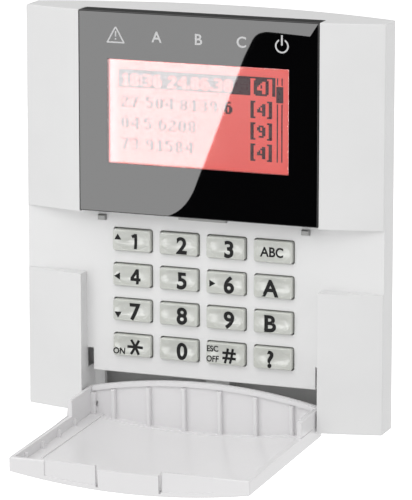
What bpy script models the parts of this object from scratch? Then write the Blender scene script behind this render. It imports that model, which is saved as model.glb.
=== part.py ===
"""Wall-mounted alarm keypad panel, built as separate closed bodies with its lid stored open.

Lengths below are millimetres. Y is counted from the face of the keypad plate while a piece is
drawn, and every vertex is then moved so that Y = 0 is the wall face of the rear base.
"""
import math

import bmesh
import bpy
from mathutils import Matrix, Vector

# driving dimensions
WIDTH = 120.0
HEIGHT = 130.0
DEPTH = 30.0
WALL_FACE = 21.4
HALF_W = WIDTH / 2
HALF_H = HEIGHT / 2
SIDE_WALL_DEPTH = 9.0
FRONT_CROWN = WALL_FACE - DEPTH
FRONT_RADIUS = 223.6
BACK_CROWN = 21.1
BACK_SAGITTA = BACK_CROWN - SIDE_WALL_DEPTH
BACK_RADIUS = (HALF_W ** 2 + BACK_SAGITTA ** 2) / (2 * BACK_SAGITTA)
WALL = 2.0
# display block
BEZEL_HALF_W = 40.0
BEZEL_FRONT = -5.2
BEZEL_BACK = 1.2
BEZEL_LOW = 0.8
BEZEL_CHAMFER = 0.5
WINDOW_HALF_W = 30.2
WINDOW_LOW = 16.8
WINDOW_HIGH = 50.0
ICON_Z = 58.0
ICON_X = (-27.4, -13.6, 0.4, 14.6, 28.4)
# keypad
KEY_COLUMNS = (-23.85, -7.95, 7.95, 23.85)
KEY_ROWS = (-8.7, -20.1, -31.5, -43.0)
KEY_NAMES = (
    ("key_1", "key_2", "key_3", "key_abc"),
    ("key_4", "key_5", "key_6", "key_a"),
    ("key_7", "key_8", "key_9", "key_b"),
    ("key_star", "key_0", "key_hash", "key_help"),
)
KEY_W = 12.8
KEY_H = 7.0
KEY_GAP = 0.25
KEY_FLANGE_W = 6.9
KEY_FLANGE_H = 4.2
KEY_TOP = -1.55
PLATE_BOTTOM = -52.3
BAND_LOW = -20.0
BAND_HIGH = 0.4
RECESS_HALF_W = 39.9
# lid
LID_HALF_W = 39.4
LID_WALL = 1.6
LID_HIGH = 0.3
LID_EDGE = -0.5
LID_ARM_EDGE = 4.8
LID_ARM_HIGH = -46.2
HINGE_Y = -0.7
HINGE_Z = -63.2
LID_OPEN = 92.0
PIN_R = 0.75
PIN_HOLE_R = 0.85
# inside
BOARD_FRONT = 6.3
BOARD_BACK = 7.9
BOARD_HALF_W = 35.4
BOARD_LOW = -49.0
BOARD_HIGH = 61.5
BOSSES = ((-33.4, 58.0), (33.4, 58.0), (-33.4, -36.0), (33.4, -36.0))
TERMINALS = (-9.0, -3.0, 3.0, 9.0)
TERMINAL_Z = -38.0
CABLE_Z = -16.0
CASE_SCREW_Y = 15.6

MATERIALS = {
    "white_abs": (0.80, 0.80, 0.80, 0.0, 0.42),
    "black_gloss": (0.010, 0.010, 0.011, 0.0, 0.10),
    "clear_window": (0.90, 0.92, 0.92, 0.0, 0.05),
    "display_glass": (0.62, 0.12, 0.11, 0.0, 0.15),
    "backlight": (0.80, 0.18, 0.15, 0.0, 0.50),
    "diffuser": (0.72, 0.72, 0.72, 0.0, 0.45),
    "key_plastic": (0.62, 0.63, 0.61, 0.0, 0.32),
    "silicone": (0.42, 0.43, 0.43, 0.0, 0.60),
    "board_green": (0.02, 0.13, 0.06, 0.0, 0.40),
    "steel": (0.60, 0.60, 0.61, 1.0, 0.30),
    "grey_plastic": (0.36, 0.36, 0.36, 0.0, 0.45),
    "black_plastic": (0.03, 0.03, 0.03, 0.0, 0.45),
    "terminal_green": (0.05, 0.30, 0.14, 0.0, 0.45),
}

for old in list(bpy.data.objects):
    bpy.data.objects.remove(old, do_unlink=True)

PANEL = bpy.data.collections.new("alarm_keypad_panel")
CUTTERS = bpy.data.collections.new("cutters")
bpy.context.scene.collection.children.link(PANEL)
bpy.context.scene.collection.children.link(CUTTERS)


def material(name, kind):
    red, green, blue, metallic, roughness = MATERIALS[kind]
    mat = bpy.data.materials.new(name)
    mat.use_nodes = True
    shader = mat.node_tree.nodes["Principled BSDF"]
    shader.inputs["Base Color"].default_value = (red, green, blue, 1.0)
    shader.inputs["Metallic"].default_value = metallic
    shader.inputs["Roughness"].default_value = roughness
    if kind == "clear_window":
        shader.inputs["Transmission Weight"].default_value = 0.9
    return mat


def place(x, y, z):
    return Vector((x * 0.001, (y - WALL_FACE) * 0.001, z * 0.001))


def solid(name, bm, kind=None):
    bmesh.ops.recalc_face_normals(bm, faces=bm.faces)
    mesh = bpy.data.meshes.new(name)
    bm.to_mesh(mesh)
    bm.free()
    obj = bpy.data.objects.new(name, mesh)
    if kind is None:
        CUTTERS.objects.link(obj)
        obj.hide_render = True
        obj.display_type = "WIRE"
    else:
        PANEL.objects.link(obj)
        mesh.materials.append(material(name, kind))
    return obj


def rect(u0, u1, v0, v1):
    return [(u0, v0), (u1, v0), (u1, v1), (u0, v1)]


def stack_into(bm, axis, outline, levels):
    """A flat outline extruded through levels of (height, widths over the first, heights over it)."""
    across, up, along = {"X": (1, 2, 0), "Y": (0, 2, 1), "Z": (0, 1, 2)}[axis]
    verts = []
    for u, v in outline:
        point = [0.0, 0.0, 0.0]
        point[across], point[up], point[along] = u, v, levels[0][0]
        verts.append(bm.verts.new(place(*point)))
    face = bm.faces.new(verts)
    middle = face.calc_center_bounds()
    base = [vert.co - middle for vert in verts]
    for step, (height, wide, tall) in enumerate(levels[1:]):
        made = bmesh.ops.extrude_face_region(bm, geom=[face])["geom"]
        if step:
            bmesh.ops.delete(bm, geom=[face], context="FACES_ONLY")
        face = next(item for item in made if isinstance(item, bmesh.types.BMFace))
        level = [0.0, 0.0, 0.0]
        level[along] = height
        for vert, offset in zip(face.verts, base):
            vert.co[across] = middle[across] + offset[across] * wide
            vert.co[up] = middle[up] + offset[up] * tall
            vert.co[along] = place(*level)[along]


def stack(name, axis, outline, levels, kind=None):
    bm = bmesh.new()
    stack_into(bm, axis, outline, levels)
    return solid(name, bm, kind)


def prism(name, axis, outline, low, high, kind=None):
    return stack(name, axis, outline, ((low, 1, 1), (high, 1, 1)), kind)


def block_into(bm, x0, x1, y0, y1, z0, z1):
    low, high = place(x0, y0, z0), place(x1, y1, z1)
    size = Matrix.Diagonal((*(high - low), 1.0))
    bmesh.ops.create_cube(bm, size=1.0, matrix=Matrix.Translation((low + high) / 2) @ size)


def box(name, x0, x1, y0, y1, z0, z1, kind=None):
    return boxes(name, [(x0, x1, y0, y1, z0, z1)], kind)


def boxes(name, extents, kind=None):
    bm = bmesh.new()
    for extent in extents:
        block_into(bm, *extent)
    return solid(name, bm, kind)


QUARTER = math.radians(90)
TURNS = {"X": Matrix.Rotation(QUARTER, 4, "Y"), "Y": Matrix.Rotation(-QUARTER, 4, "X"), "Z": Matrix()}


def rods(name, axis, centres, radius, low, high, count=16, kind=None):
    bm = bmesh.new()
    middle = (low + high) / 2
    for u, v in centres:
        centre = {"X": (middle, u, v), "Y": (u, middle, v), "Z": (u, v, middle)}[axis]
        spot = Matrix.Translation(place(*centre)) @ TURNS[axis]
        size = radius * 0.001
        depth = (high - low) * 0.001
        bmesh.ops.create_cone(
            bm, cap_ends=True, segments=count, radius1=size, radius2=size, depth=depth, matrix=spot
        )
    return solid(name, bm, kind)


def turned(name, axis, spot, profile, count, kind):
    """A profile of (radius, height), rising along the axis, spun about it by a Screw modifier."""
    bm = bmesh.new()
    verts = []
    for radius, height in reversed(profile):
        verts.append(bm.verts.new((radius * 0.001, 0.0, height * 0.001)))
    for low, high in zip(verts, verts[1:]):
        bm.edges.new((low, high))
    obj = solid(name, bm, kind)
    spin = obj.modifiers.new("spin", "SCREW")
    spin.steps = count
    spin.render_steps = count
    spin.use_merge_vertices = True
    spin.merge_threshold = 0.00001
    obj.matrix_world = Matrix.Translation(place(*spot)) @ TURNS[axis]
    return obj


def set_origin(obj, x, y, z):
    """Moves an object's origin, and not its shape, to a point on the axis it moves along."""
    spot = place(x, y, z)
    obj.data.transform(Matrix.Translation(-spot))
    obj.location = spot


def boolean(target, tool, operation):
    mod = target.modifiers.new(operation.lower() + "_" + tool.name, "BOOLEAN")
    mod.operation = operation
    mod.solver = "EXACT"
    mod.object = tool


def cut(target, *tools):
    for tool in tools:
        boolean(target, tool, "DIFFERENCE")


def add(target, *tools):
    for tool in tools:
        boolean(target, tool, "UNION")


def both_sides(extents):
    mirrored = [(-x1, -x0, y0, y1, z0, z1) for x0, x1, y0, y1, z0, z1 in extents]
    return list(extents) + mirrored


def front_y(x):
    return FRONT_CROWN + FRONT_RADIUS - math.sqrt(FRONT_RADIUS ** 2 - x * x)


def back_y(x):
    return BACK_CROWN - BACK_RADIUS + math.sqrt(BACK_RADIUS ** 2 - x * x)


def bay_y(x):
    return 10.2 - 3.6 * (x / RECESS_HALF_W) ** 2


def steps(low, high, count):
    return [low + (high - low) * i / count for i in range(count + 1)]


def rounded(half_w, half_h, radius, cx, cz):
    """A rectangle with each corner as an arc of three points."""
    points = []
    for quarter, (sx, sz) in enumerate(((1, 1), (-1, 1), (-1, -1), (1, -1))):
        for k in range(3):
            angle = math.radians(90 * quarter + 45 * k)
            u = cx + sx * (half_w - radius) + radius * math.cos(angle)
            v = cz + sz * (half_h - radius) + radius * math.sin(angle)
            points.append((u, v))
    return points


def cavity():
    """Space inside the cover: the lens, less the plate, pockets and bosses that stand in it."""
    outline = [(x, front_y(x) + WALL) for x in steps(-58.0, 58.0, 20)]
    outline += [(58.0, 30.0), (-58.0, 30.0)]
    space = prism("space_inside", "Z", outline, -63.0, 63.0)
    kept = [
        (-61.0, 61.0, -20.0, WALL, BAND_LOW - WALL, BAND_HIGH + WALL),
        (-41.9, 41.9, -20.5, WALL, -64.0, 2.2),
        (-42.15, 42.15, -19.5, 3.4, 0.1, 64.0),
        (36.0, 42.3, -19.0, 8.4, -52.0, -43.4),
        (-42.3, -36.0, -19.0, 8.4, -52.0, -43.4),
    ]
    for i, extent in enumerate(kept):
        cut(space, box("kept_%d" % i, *extent))
    bay = [(x, bay_y(x) + WALL) for x in steps(-41.9, 41.9, 12)]
    cut(space, prism("kept_bay", "Z", bay + [(41.9, -18.0), (-41.9, -18.0)], -64.5, -50.4))
    cut(space, rods("kept_bosses", "Y", BOSSES, 2.2, 0.5, 6.1, 12))
    return space


def make_front_cover():
    outline = [(x, front_y(x)) for x in steps(-59.2, 59.2, 24)]
    outline += [(HALF_W, 0.3)]
    outline += [(x, back_y(x)) for x in steps(HALF_W, -HALF_W, 24)]
    outline += [(-HALF_W, 0.3)]
    cover = prism("front_cover", "Z", outline, -HALF_H, HALF_H, "white_abs")
    half = RECESS_HALF_W
    cut(cover, cavity())
    cut(cover, box("cut_bands", -61.0, 61.0, -20.0, 0.0, BAND_LOW, BAND_HIGH))
    cut(cover, box("cut_recess", -half, half, -21.0, 0.0, -66.0, 1.0))
    cut(cover, box("cut_bezel", -40.15, 40.15, -22.0, 1.4, 0.65, 66.0))
    bay = [(x, bay_y(x)) for x in steps(-half, half, 12)]
    cut(cover, prism("cut_bay", "Z", bay + [(half, -18.0), (-half, -18.0)], -67.0, PLATE_BOTTOM))
    cut(cover, boxes("cut_notches", both_sides([(37.6, half, -17.0, 6.6, -53.0, -45.0)])))
    holes = []
    for z in KEY_ROWS:
        for x in KEY_COLUMNS:
            dx = KEY_W / 2 + KEY_GAP
            dz = KEY_H / 2 + KEY_GAP
            holes.append((x - dx, x + dx, -1.0, 3.0, z - dz, z + dz))
    cut(cover, boxes("cut_keys", holes))
    cut(cover, box("cut_display", -35.0, 35.0, 0.5, 5.0, 11.5, 55.0))
    cut(cover, rods("cut_lights", "Y", [(x, ICON_Z) for x in ICON_X], 2.2, 0.4, 4.0))
    cut(cover, rods("cut_pilots", "Y", BOSSES, 1.15, 3.0, 7.0, 12))
    pins = [(HINGE_Y, HINGE_Z)]
    cut(cover, rods("cut_pin_left", "X", pins, PIN_HOLE_R, -41.6, -39.0, 24))
    cut(cover, rods("cut_pin_right", "X", pins, PIN_HOLE_R, 39.0, 41.6, 24))
    cut(cover, box("cut_latch", -8.1, 8.1, -0.8, 1.3, -0.85, 0.35))
    cut(cover, boxes("cut_tabs", both_sides([(32.9, 35.7, -0.9, 1.3, -2.85, -1.05)])))
    cut(cover, rods("cut_case_screw", "Z", [(0.0, CASE_SCREW_Y)], 1.4, -66.0, -62.0, 16))
    cut(cover, rods("cut_case_head", "Z", [(0.0, CASE_SCREW_Y)], 2.6, -66.5, -63.5, 16))
    cut(cover, boxes("cut_hooks", both_sides([(17.0, 27.0, 13.5, 15.7, 62.5, 64.2)])))


def make_rear_base():
    outer = [(x, back_y(x)) for x in steps(-57.7, 57.7, 24)]
    inner = [(x, back_y(x) - WALL) for x in steps(57.7, -57.7, 24)]
    base = prism("rear_base", "Z", outer + inner, -62.7, 62.7, "white_abs")
    add(base, box("add_pad", -30.0, 30.0, 15.2, WALL_FACE, -55.0, 58.0))
    add(base, box("add_screw_boss", -4.0, 4.0, 12.9, 19.9, -62.4, -54.0))
    add(base, boxes("add_walls", both_sides([(17.3, 26.7, 13.8, 18.6, 60.4, 62.6)])))
    add(base, boxes("add_hooks", both_sides([(17.6, 26.4, 13.9, 15.4, 61.0, 64.0)])))
    cut(base, box("cut_pad", -28.0, 28.0, 10.0, 19.4, -53.0, 56.0))
    cut(base, rods("cut_thread", "Z", [(0.0, CASE_SCREW_Y)], 1.25, -63.0, -55.5, 16))
    heads = [(0.0, 42.0), (0.0, -44.0)]
    cut(base, rods("cut_key_heads", "Y", heads, 4.2, 18.0, 23.0, 24))
    slots = [(-2.2, 2.2, 18.5, 23.5, z, z + 9.5) for x, z in heads]
    cut(base, boxes("cut_key_slots", slots))
    cut(base, box("cut_cable", -11.0, 11.0, 17.5, 24.0, CABLE_Z - 7.0, CABLE_Z + 7.0))


def make_display_bezel():
    half = BEZEL_HALF_W
    tall = HALF_H - BEZEL_LOW
    edge = BEZEL_FRONT + BEZEL_CHAMFER
    levels = (
        (BEZEL_BACK, 1, 1),
        (edge, 1, 1),
        (BEZEL_FRONT, 1 - BEZEL_CHAMFER / half, 1 - 2 * BEZEL_CHAMFER / tall),
    )
    bezel = stack("display_bezel", "Y", rect(-half, half, BEZEL_LOW, HALF_H), levels, "black_gloss")
    cut(bezel, box("cut_window", -WINDOW_HALF_W, WINDOW_HALF_W, -9.0, 0.0, WINDOW_LOW, WINDOW_HIGH))
    cut(bezel, box("cut_bezel_back", -34.5, 34.5, -3.6, 3.0, 12.0, 54.4))
    cut(bezel, rods("cut_icons", "Y", [(x, ICON_Z) for x in ICON_X], 2.1, -9.0, 4.0))


def make_display_window():
    half = WINDOW_HALF_W - 0.15
    z0 = WINDOW_LOW + 0.15
    z1 = WINDOW_HIGH - 0.15
    box("display_window", -half, half, BEZEL_FRONT, -3.75, z0, z1, "clear_window")


def make_display_stack():
    box("lcd_panel", -33.6, 33.6, -3.4, -1.4, 13.2, 53.6, "display_glass")
    box("lcd_backlight", -33.2, 33.2, -1.2, 1.9, 13.6, 53.2, "backlight")
    carrier = box("lcd_carrier", -33.6, 33.6, 2.1, 6.1, 13.2, 53.6, "diffuser")
    cut(carrier, box("cut_carrier", -31.0, 31.0, 3.4, 7.0, 16.0, 51.0))
    box("lcd_connector", -18.0, 18.0, 3.7, 6.1, 6.6, 9.6, "black_plastic")


def make_icon_lights():
    names = ("icon_light_alert", "icon_light_a", "icon_light_b", "icon_light_c", "icon_light_power")
    for name, x in zip(names, ICON_X):
        rods(name, "Y", [(x, ICON_Z)], 1.9, BEZEL_FRONT + 0.05, 6.1, 16, "diffuser")


def make_keys():
    """Each key: a flange held behind the plate, a stem through it, and a crowned top."""
    half_w = KEY_W / 2
    half_h = KEY_H / 2
    stem = (half_w / KEY_FLANGE_W, half_h / KEY_FLANGE_H)
    shoulder = ((half_w - 0.4) / KEY_FLANGE_W, (half_h - 0.4) / KEY_FLANGE_H)
    crown = ((half_w - 1.3) / KEY_FLANGE_W, (half_h - 1.1) / KEY_FLANGE_H)
    levels = ((3.1, 1, 1), (2.3, 1, 1), (2.3, *stem), (-0.9, *stem), (-1.35, *shoulder), (KEY_TOP, *crown))
    for names, z in zip(KEY_NAMES, KEY_ROWS):
        for name, x in zip(names, KEY_COLUMNS):
            outline = rounded(KEY_FLANGE_W, KEY_FLANGE_H, 1.2, x, z)
            set_origin(stack(name, "Y", outline, levels, "key_plastic"), x, 0.0, z)


def make_key_mat():
    mat = box("key_mat", -30.9, 30.9, 4.9, 6.1, -49.0, -3.0, "silicone")
    centres = [(x, z) for z in KEY_ROWS for x in KEY_COLUMNS]
    add(mat, rods("add_domes", "Y", centres, 2.6, 4.1, 5.5, 10))


def make_main_board():
    half = BOARD_HALF_W
    outline = rect(-half, half, BOARD_LOW, BOARD_HIGH)
    board = prism("main_board", "Y", outline, BOARD_FRONT, BOARD_BACK, "board_green")
    cut(board, rods("cut_board", "Y", BOSSES, 1.3, 5.0, 9.0, 12))


def make_board_screws():
    profile = ((0.0, 3.4), (0.95, 3.4), (0.95, 8.05), (2.1, 8.05), (2.1, 9.5), (1.5, 9.9), (0.0, 9.9))
    for i, (x, z) in enumerate(BOSSES):
        turned("board_screw_%d" % (i + 1), "Y", (x, 0.0, z), profile, 12, "steel")


def make_terminal_block():
    z = TERMINAL_Z
    block = box("terminal_block", -12.4, 12.4, 8.1, 17.0, z - 5.0, z + 5.0, "terminal_green")
    cut(block, boxes("cut_wire_mouths", [(x - 2.0, x + 2.0, 9.4, 13.4, z - 1.0, z + 6.0) for x in TERMINALS]))
    cut(block, rods("cut_screw_wells", "Y", [(x, z - 1.4) for x in TERMINALS], 1.9, 14.4, 18.0, 12))
    for i, x in enumerate(TERMINALS):
        screw = rods("terminal_screw_%d" % (i + 1), "Y", [(x, z - 1.4)], 1.65, 14.6, 16.6, 16, "steel")
        cut(screw, box("cut_driver_%d" % (i + 1), x - 3.0, x + 3.0, 15.9, 18.0, z - 1.7, z - 1.1))


def make_buzzer():
    buzzer = rods("buzzer", "Y", [(-16.0, 30.0)], 7.0, 8.1, 16.0, 28, "black_plastic")
    cut(buzzer, rods("cut_buzzer", "Y", [(-16.0, 30.0)], 1.2, 13.5, 18.0, 12))


def make_tamper():
    body = box("tamper_switch", 14.0, 22.0, 8.1, 14.0, 8.0, 16.0, "black_plastic")
    cut(body, rods("cut_tamper", "Y", [(18.0, 12.0)], 1.75, 10.0, 15.0, 16))
    plunger = rods("tamper_plunger", "Y", [(18.0, 12.0)], 1.6, 11.8, 19.0, 16, "grey_plastic")
    set_origin(plunger, 18.0, 11.8, 12.0)


def make_trim():
    box("latch_bar", -8.0, 8.0, -1.4, 1.2, -0.75, 0.25, "grey_plastic")
    box("light_tab_left", -35.6, -33.0, -1.2, 1.2, -2.75, -1.15, "grey_plastic")
    box("light_tab_right", 33.0, 35.6, -1.2, 1.2, -2.75, -1.15, "grey_plastic")
    profile = ((0.0, 0.0), (2.4, 0.0), (2.4, 1.15), (1.1, 1.15), (1.1, 8.6), (0.0, 8.6))
    turned("case_screw", "Z", (0.0, CASE_SCREW_Y, -64.8), profile, 16, "steel")


def make_hinge_pins():
    pin = [(HINGE_Y, HINGE_Z)]
    rods("lid_hinge_pin_left", "X", pin, PIN_R, -41.4, -38.1, 24, "steel")
    rods("lid_hinge_pin_right", "X", pin, PIN_R, 38.1, 41.4, 24, "steel")


def make_lid():
    """Drawn shut, then turned to its open stop about the hinge line."""
    half = LID_HALF_W
    xs = steps(-half, half, 16)
    outer = [(x, front_y(x)) for x in xs]
    skin = outer + [(x, front_y(x) + LID_WALL) for x in reversed(xs)]
    lid = prism("lid", "Z", skin, -HALF_H, LID_HIGH, "white_abs")
    sides = both_sides([(half - 1.5, half, -4.6, LID_EDGE, -64.0, LID_HIGH - 0.2)])
    arms = both_sides([(half - 1.5, half, -4.3, LID_ARM_EDGE, -HALF_H, LID_ARM_HIGH)])
    add(lid, boxes("add_sides", sides))
    add(lid, boxes("add_arms", arms))
    foot = [(x, front_y(x) + 0.8) for x in xs]
    foot += [(x, 9.2 - 4.2 * (x / 38.0) ** 2) for x in reversed(xs)]
    add(lid, prism("add_foot", "Z", foot, -HALF_H, -63.4))
    inside = half - 1.2
    top = [(x, front_y(x) + 0.8) for x in steps(-inside, inside, 12)]
    top += [(inside, LID_EDGE), (-inside, LID_EDGE)]
    add(lid, prism("add_top", "Z", top, LID_HIGH - 1.2, LID_HIGH))
    ribs = []
    for x in (-30.3, -18.2, -6.1, 6.1, 18.2, 30.3):
        reach = 7.2 - 4.2 * (x / 38.0) ** 2
        ribs.append((x - 0.6, x + 0.6, front_y(x) + 0.9, reach, -63.9, -61.9))
    add(lid, boxes("add_ribs", ribs))
    cut(lid, boxes("cut_tongue", both_sides([(10.0, 10.6, -7.6, 2.0, -2.0, 2.0)])))
    cut(lid, box("cut_tongue_edge", -10.1, 10.1, -1.75, 1.0, -2.5, 1.5))
    hole = [(HINGE_Y, HINGE_Z)]
    cut(lid, rods("cut_eye_left", "X", hole, PIN_HOLE_R, -45.0, -37.0, 24))
    cut(lid, rods("cut_eye_right", "X", hole, PIN_HOLE_R, 37.0, 45.0, 24))
    graph = bpy.context.evaluated_depsgraph_get()
    graph.update()
    shut = bpy.data.meshes.new_from_object(lid.evaluated_get(graph))
    lid.modifiers.clear()
    lid.data = shut
    set_origin(lid, 0.0, HINGE_Y, HINGE_Z)
    lid.rotation_euler = (math.radians(LID_OPEN), 0.0, 0.0)


make_front_cover()
make_rear_base()
make_display_bezel()
make_display_window()
make_display_stack()
make_icon_lights()
make_keys()
make_key_mat()
make_main_board()
make_board_screws()
make_terminal_block()
make_buzzer()
make_tamper()
make_trim()
make_hinge_pins()
make_lid()
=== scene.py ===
"""A wall-mounted alarm keypad panel with its lid folded down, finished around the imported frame."""
import math

import bmesh
import bpy
from mathutils import Matrix, Vector


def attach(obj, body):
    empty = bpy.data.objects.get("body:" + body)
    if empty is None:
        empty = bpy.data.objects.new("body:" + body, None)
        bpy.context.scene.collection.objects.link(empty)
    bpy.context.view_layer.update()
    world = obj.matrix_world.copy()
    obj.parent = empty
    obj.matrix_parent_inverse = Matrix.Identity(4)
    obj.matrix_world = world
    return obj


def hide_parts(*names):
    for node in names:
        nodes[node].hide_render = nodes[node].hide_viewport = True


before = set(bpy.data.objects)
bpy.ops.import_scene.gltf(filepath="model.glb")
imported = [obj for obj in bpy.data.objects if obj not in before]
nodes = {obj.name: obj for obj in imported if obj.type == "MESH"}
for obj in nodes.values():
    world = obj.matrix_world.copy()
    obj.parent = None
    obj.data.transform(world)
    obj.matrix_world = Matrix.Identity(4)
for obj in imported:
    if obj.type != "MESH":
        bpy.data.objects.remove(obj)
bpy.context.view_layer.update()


# ---- Front cover ----------------------------------------------------------------------
# One injection moulding in white ABS: a lens-shaped shell with two raised side strips, a
# pocket for the display block, a sunk keypad plate and a bay at the foot for the lid. Sizes
# are in millimetres, with y counted back from the keypad plate.
MM = 0.001
PLATE_FROM_WALL = 21.4
HALF_WIDTH = 60.0
HALF_HEIGHT = 65.0
FRONT_CROWN = -8.6
FRONT_RADIUS = 223.6
BACK_CROWN = 21.1
BACK_RADIUS = 154.8
WALL = 2.0
RECESS_HALF = 39.9
PLATE_FOOT = -52.3
BAY_RADIUS = 222.0
BAY_REACH = 10.2
GRIP_LOW = -20.0
GRIP_HIGH = 0.4
KEY_COLUMNS = (-23.85, -7.95, 7.95, 23.85)
KEY_ROWS = (-8.7, -20.1, -31.5, -43.0)
KEY_WIDE = 12.8
KEY_TALL = 7.0
KEY_GAP = 0.25
ICON_Z = 58.0
ICON_X = (-27.4, -13.6, 0.4, 14.6, 28.4)
HINGE_Y = -0.7
HINGE_Z = -63.2
CASE_SCREW_Y = 15.6
ROUND = 256


def place(x, y, z):
    """Millimetres, with y counted back from the keypad plate, to metres in the frame."""
    return Vector((x * MM, (y - PLATE_FROM_WALL) * MM, z * MM))


def drawn(point):
    """The other way: a point of the frame in the drawing's millimetres."""
    return Vector((point.x / MM, point.y / MM + PLATE_FROM_WALL, point.z / MM))


def deselect():
    if bpy.context.mode != "OBJECT":
        bpy.ops.object.mode_set(mode="OBJECT")
    bpy.ops.object.select_all(action="DESELECT")


def work_on(obj):
    deselect()
    obj.select_set(True)
    bpy.context.view_layer.objects.active = obj


def settle(obj, name):
    """Puts a new primitive's place, turn and scale into its mesh."""
    obj.name = name
    work_on(obj)
    bpy.ops.object.transform_apply(location=True, rotation=True, scale=True)
    return obj


def block(name, x0, x1, y0, y1, z0, z1):
    deselect()
    low, high = place(x0, y0, z0), place(x1, y1, z1)
    bpy.ops.mesh.primitive_cube_add(size=1.0, location=(low + high) / 2)
    obj = bpy.context.object
    obj.scale = high - low
    return settle(obj, name)


TURNS = {"X": (0, math.pi / 2, 0), "Y": (math.pi / 2, 0, 0), "Z": (0, 0, 0)}


def drum(name, axis, x, y, z, radius, length, sides=48):
    """A cylinder with its middle at x, y, z."""
    deselect()
    bpy.ops.mesh.primitive_cylinder_add(
        vertices=sides, radius=radius * MM, depth=length * MM,
        location=place(x, y, z), rotation=TURNS[axis],
    )
    return settle(bpy.context.object, name)


def modify(obj, kind, **settings):
    work_on(obj)
    mod = obj.modifiers.new(kind.lower(), kind)
    for key, value in settings.items():
        setattr(mod, key, value)
    bpy.ops.object.modifier_apply(modifier=mod.name)
    return obj


def carve(obj, *tools, operation="DIFFERENCE"):
    for tool in tools:
        modify(obj, "BOOLEAN", object=tool, operation=operation, solver="EXACT")
        bpy.data.objects.remove(tool, do_unlink=True)
    return obj


def join(obj, *others):
    deselect()
    for other in others:
        other.select_set(True)
    obj.select_set(True)
    bpy.context.view_layer.objects.active = obj
    bpy.ops.object.join()
    return obj


def round_off(obj, width, angle=40.0, segments=3):
    return modify(
        obj, "BEVEL", width=width * MM, segments=segments, limit_method="ANGLE",
        angle_limit=math.radians(angle), use_clamp_overlap=True, miter_outer="MITER_ARC",
    )


def soften(obj, chosen, width, segments=3):
    """Bevels the sharp edges that chosen(a, b) says yes to, a and b being their ends as drawn."""
    work_on(obj)
    bpy.ops.object.mode_set(mode="EDIT")
    bpy.ops.mesh.select_mode(type="EDGE")
    bpy.ops.mesh.select_all(action="DESELECT")
    bm = bmesh.from_edit_mesh(obj.data)
    for edge in bm.edges:
        sharp = len(edge.link_faces) == 2 and edge.calc_face_angle(0.0) > math.radians(25)
        edge.select = sharp and chosen(drawn(edge.verts[0].co), drawn(edge.verts[1].co))
    bmesh.update_edit_mesh(obj.data)
    bpy.ops.mesh.bevel(offset=width * MM, segments=segments, affect="EDGES", clamp_overlap=True)
    bpy.ops.object.mode_set(mode="OBJECT")
    return obj


def clean(obj, flat=0.4):
    """Merges doubles and dissolves the leftover edges inside flat faces."""
    work_on(obj)
    bpy.ops.object.mode_set(mode="EDIT")
    bpy.ops.mesh.select_all(action="SELECT")
    bpy.ops.mesh.remove_doubles(threshold=0.002 * MM)
    bpy.ops.mesh.dissolve_limited(angle_limit=math.radians(flat))
    bpy.ops.object.mode_set(mode="OBJECT")
    return obj


def shade(obj, angle=32.0):
    """Smooth over arcs and rounded edges, with the flat faces keeping their own normals."""
    work_on(obj)
    bpy.ops.object.shade_smooth_by_angle(angle=math.radians(angle))
    modify(obj, "WEIGHTED_NORMAL", weight=80, keep_sharp=True)
    return obj


def linear(code):
    """An sRGB hex value as a linear colour."""
    parts = [int(code[i:i + 2], 16) / 255 for i in (1, 3, 5)]
    return tuple(c / 12.92 if c <= 0.04045 else ((c + 0.055) / 1.055) ** 2.4 for c in parts) + (1.0,)


def add_node(tree, kind, inputs=None, **settings):
    """A node with its settings; an input is a value, or the socket that feeds it.

    A Mix node has its two colours at the inputs MIX_A and MIX_B, and its result at MIXED.
    """
    made = tree.nodes.new(kind)
    for key, value in settings.items():
        setattr(made, key, value)
    for key, value in (inputs or {}).items():
        if isinstance(value, bpy.types.NodeSocket):
            tree.links.new(value, made.inputs[key])
        else:
            made.inputs[key].default_value = value
    return made


CLOUD = 18.0
MIX_A, MIX_B, MIXED = 6, 7, 2


def new_material(name):
    mat = bpy.data.materials.new(name)
    mat.use_nodes = True
    return mat, mat.node_tree, mat.node_tree.nodes["Principled BSDF"]


def moulded(name, colour, roughness, grain, depth, mottle=0.03, ior=1.53):
    """Moulded plastic: spark-eroded grain of that size in millimetres, and a slight cloudiness."""
    mat, tree, shader = new_material(name)
    where = add_node(tree, "ShaderNodeTexCoord").outputs["Object"]
    clouds = add_node(
        tree, "ShaderNodeTexNoise", {"Vector": where, "Scale": 1 / (CLOUD * MM), "Detail": 3.0}
    )
    spread = add_node(
        tree, "ShaderNodeMapRange",
        {"Value": clouds.outputs["Fac"], "From Min": 0.3, "From Max": 0.7,
         "To Min": 1 - mottle, "To Max": 1.0},
    )
    tint = add_node(
        tree, "ShaderNodeMix", {"Factor": 1.0, MIX_A: linear(colour), MIX_B: spread.outputs["Result"]},
        data_type="RGBA", blend_type="MULTIPLY",
    )
    tree.links.new(tint.outputs[MIXED], shader.inputs["Base Color"])
    pits = add_node(
        tree, "ShaderNodeTexNoise", {"Vector": where, "Scale": 1 / (grain * MM), "Detail": 4.0}
    )
    gloss = add_node(
        tree, "ShaderNodeMapRange",
        {"Value": pits.outputs["Fac"], "From Min": 0.3, "From Max": 0.7,
         "To Min": roughness - 0.05, "To Max": roughness + 0.05},
    )
    tree.links.new(gloss.outputs["Result"], shader.inputs["Roughness"])
    bump = add_node(
        tree, "ShaderNodeBump", {"Height": pits.outputs["Fac"], "Strength": 1.0, "Distance": depth * MM}
    )
    tree.links.new(bump.outputs["Normal"], shader.inputs["Normal"])
    shader.inputs["IOR"].default_value = ior
    return mat


def dress(obj, material, body, slot, *stands_for):
    """Gives a finished piece its material and its body, and hides the solids it stands for; slot is not
    used.
    """
    obj.data.materials.clear()
    obj.data.materials.append(material)
    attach(obj, body)
    if stands_for:
        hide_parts(*stands_for)
    return obj


def between(value, low, high):
    return low <= value <= high


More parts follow.
